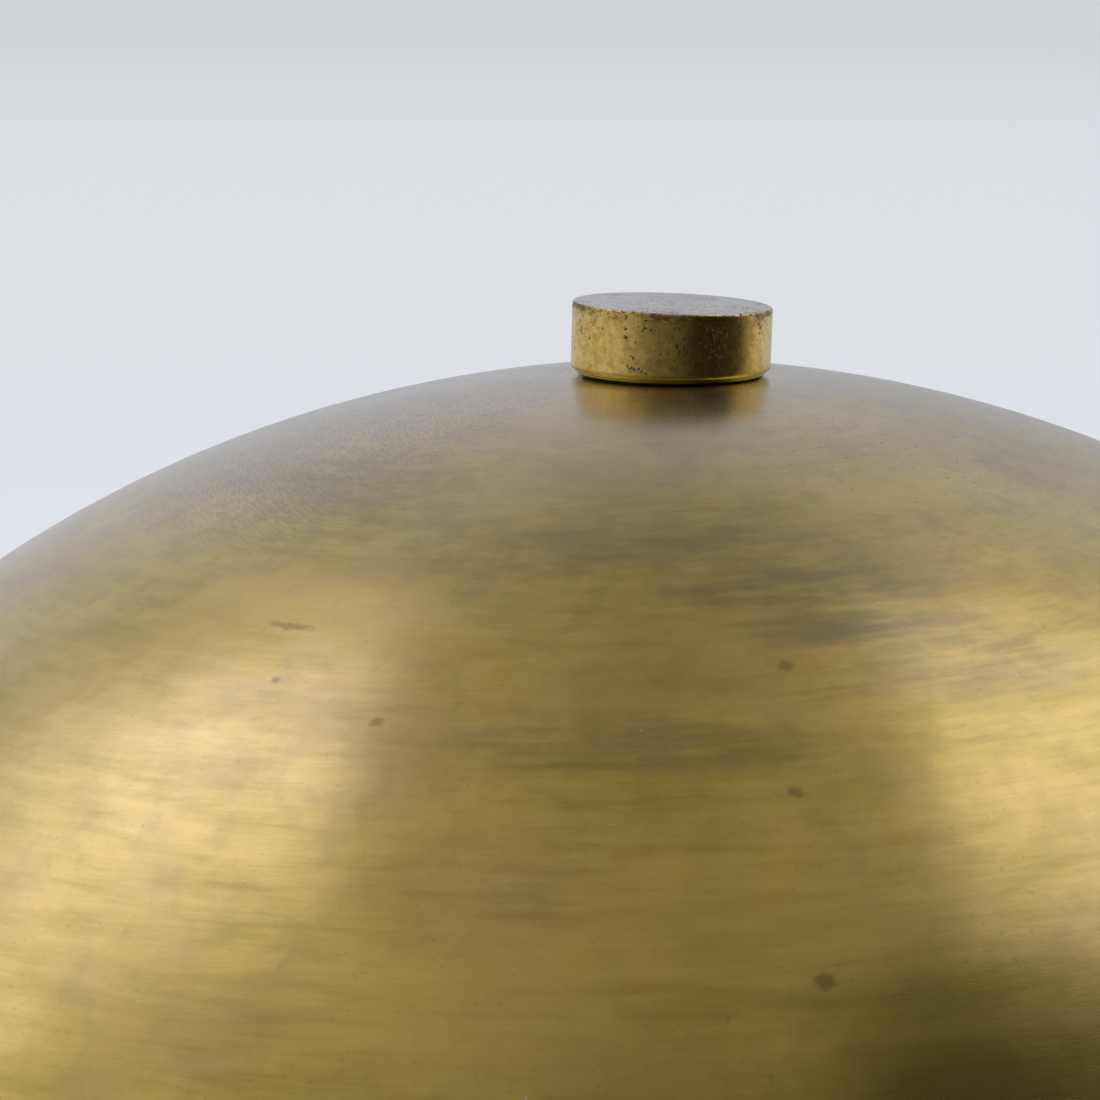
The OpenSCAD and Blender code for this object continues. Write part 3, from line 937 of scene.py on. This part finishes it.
def make_floor():
    """A plain pale floor, far wider than any view. The metal reflects the world in its place."""
    bpy.ops.mesh.primitive_circle_add(vertices=96, radius=60, fill_type="NGON")
    floor_ = bpy.context.object
    floor_.name = "floor"
    s = Shader("pale_floor")
    away = s.from_axis()
    s.set(Base_Color=rgb(0.62, 0.62, 0.60), Roughness=1.0, Specular_IOR_Level=0.0)
    glow = s.minus(s.ramp(away, 0.8, 2.6, 0.545, 0.55), s.ramp(away, 3.0, 9.0, 0.0, 0.085))
    s.set(Emission_Color=rgb(0.885, 0.93, 1.0), Emission_Strength=glow)
    floor_.data.materials.append(s.material)
    floor_.visible_glossy = False


def make_world():
    """The studio as the metal sees it: pale table and paper low down at the back and sides, a dim ceiling,
    and the dark room behind the camera, darkest to its right."""
    world = bpy.data.worlds.new("studio")
    bpy.context.scene.world = world
    world.use_nodes = True
    s = Nodes(world.node_tree, "Generated")
    z = s.axes()["Z"]
    tone = s.mix(s.ramp(z, -0.15, 0.0), rgb(0.66, 0.675, 0.70), rgb(0.52, 0.54, 0.61))
    tone = s.mix(s.ramp(z, 0.42, 0.80), tone, rgb(0.28, 0.27, 0.238))
    for azimuth, elevation, inner, outer, share, colour in STUDIO:
        dot = s.new("ShaderNodeVectorMath", operation="DOT_PRODUCT")
        s.put(dot.inputs[0], s.point)
        dot.inputs[1].default_value = towards(azimuth, elevation)
        near = s.ramp(dot.outputs["Value"], cos(radians(outer)), cos(radians(inner)))
        tone = s.mix(s.times(near, share), tone, colour)
    background = world.node_tree.nodes["Background"]
    s.put(background.inputs["Color"], tone)
    background.inputs["Strength"].default_value = 1.0


def make_softbox(name, azimuth, elevation, distance, width, height, roll, radiance, colour):
    """A rectangular area light aimed at the upper part of the dome, rolled about its own axis."""
    data = bpy.data.lights.new(name, "AREA")
    data.shape = "RECTANGLE"
    data.size, data.size_y = width, height
    data.energy = radiance * pi * width * height
    data.color = colour
    light = bpy.data.objects.new(name, data)
    bpy.context.scene.collection.objects.link(light)
    away = towards(azimuth, elevation)
    light.location = Vector((0, 0, (CENTRE_Z + DOME_R * 0.7) * MM)) + away * distance
    light.rotation_mode = "QUATERNION"
    light.rotation_quaternion = away.to_track_quat("Z", "Y") @ Quaternion((0, 0, 1), radians(roll))
    light.visible_camera = False


def make_camera():
    """A long lens, a little above the knob and close in, so that the dome fills the lower frame."""
    data = bpy.data.cameras.new("camera")
    data.sensor_width = 36.0
    data.lens = 104.73
    data.clip_start, data.clip_end = 0.01, 200.0
    cam = bpy.data.objects.new("camera", data)
    bpy.context.scene.collection.objects.link(cam)
    bpy.context.scene.camera = cam
    distance, above = 0.3855, 7.25              # metres from the top of the dome, and degrees above it
    down, turn, roll = 10.52, 2.16, 0.13        # where it points, in degrees
    apex = Vector((0, 0, (SEAT_Z + SEAT_DROP) * MM))
    place_at = apex + Vector((0, -cos(radians(above)), sin(radians(above)))) * distance
    aim = Matrix.Rotation(radians(turn), 4, "Z") @ Matrix.Rotation(radians(90 - down), 4, "X")
    cam.matrix_world = Matrix.Translation(place_at) @ aim @ Matrix.Rotation(radians(roll), 4, "Z")


# ---------------------------------------------------------------- build

brass = dome_brass()
bright_brass = knob_brass()
fixing_brass = turned_metal("fixing_brass", rgb(0.80, 0.58, 0.25), rgb(0.56, 0.40, 0.16), 0.22, 0.36)
steel = turned_metal("steel", rgb(0.62, 0.61, 0.60), rgb(0.38, 0.37, 0.36), 0.24, 0.4)
fibre = black_fibre()
board_wood = walnut("walnut", rgb(0.13, 0.066, 0.034), rgb(0.045, 0.022, 0.012), (0.02, 0.11, 0.19))
deck_wood = walnut("deck_walnut", rgb(0.18, 0.098, 0.052), rgb(0.075, 0.038, 0.02), (0.4, -0.07, 0.26))
grey_felt = felt("grey_felt", rgb(0.085, 0.086, 0.09), rgb(0.03, 0.031, 0.034), rgb(0.22, 0.22, 0.22))
baize = felt("green_baize", rgb(0.03, 0.115, 0.066), rgb(0.010, 0.045, 0.026), rgb(0.10, 0.20, 0.13))

place(make_dome(), "dome", "dome_shell", brass)
place(make_rim_wire(), "dome", "rim_wire", steel)
place(make_stud(), "dome", "knob_stud", steel)
place(make_nut(), "dome", "stud_nut", fixing_brass)
place(make_lock_washer(), "dome", "lock_washer", steel)
spreader = make_washer("spreader_washer", STUD_R + 0.2, SPREADER_R, SPREADER_Z, SPREADER_TOP, 0.25)
place(spreader, "dome", "spreader_washer", fixing_brass)
# painted shadow: a real packing washer, made black so that it draws the dark shade line under the knob's foot
packing = make_washer("knob_washer", STUD_R + 0.2, WASHER_R, WASHER_Z, WASHER_TOP, 0.05)
place(packing, "knob_carrier", "knob_washer", fibre)
place(make_knob(), "knob", "knob", bright_brass)

place(make_board(), "base", "base_board", board_wood)
place(make_deck(), "base", "deck_disc", deck_wood)
place(make_screws(), "base", "deck_screws", fixing_brass)

under_felt = make_felt("base_felt", 0, BASE_FELT_R, BASE_FELT_Z, BASE_FELT_TOP,
                       rings=60, segments=256, lumps=0.0)
place(under_felt, "base", "base_felt", grey_felt)
deck_baize = make_felt("deck_felt", 0, DECK_FELT_R, DECK_FELT_Z, DECK_FELT_TOP,
                       rings=110, segments=320, lumps=0.12)
place(deck_baize, "base", "deck_felt", baize)
ring_inner = DECK_R + RIM_FELT_GAP
rim_ring = make_felt("rim_felt", ring_inner, RIM_FELT_R, RIM_FELT_Z, RIM_FELT_TOP,
                     rings=8, segments=480, lumps=0.08)
place(rim_ring, "base", "rim_felt", grey_felt)


make_floor()
make_world()
for box_name, box in SOFTBOXES.items():
    make_softbox(box_name, *box)
make_camera()
bpy.context.scene.view_settings.view_transform = "Standard"
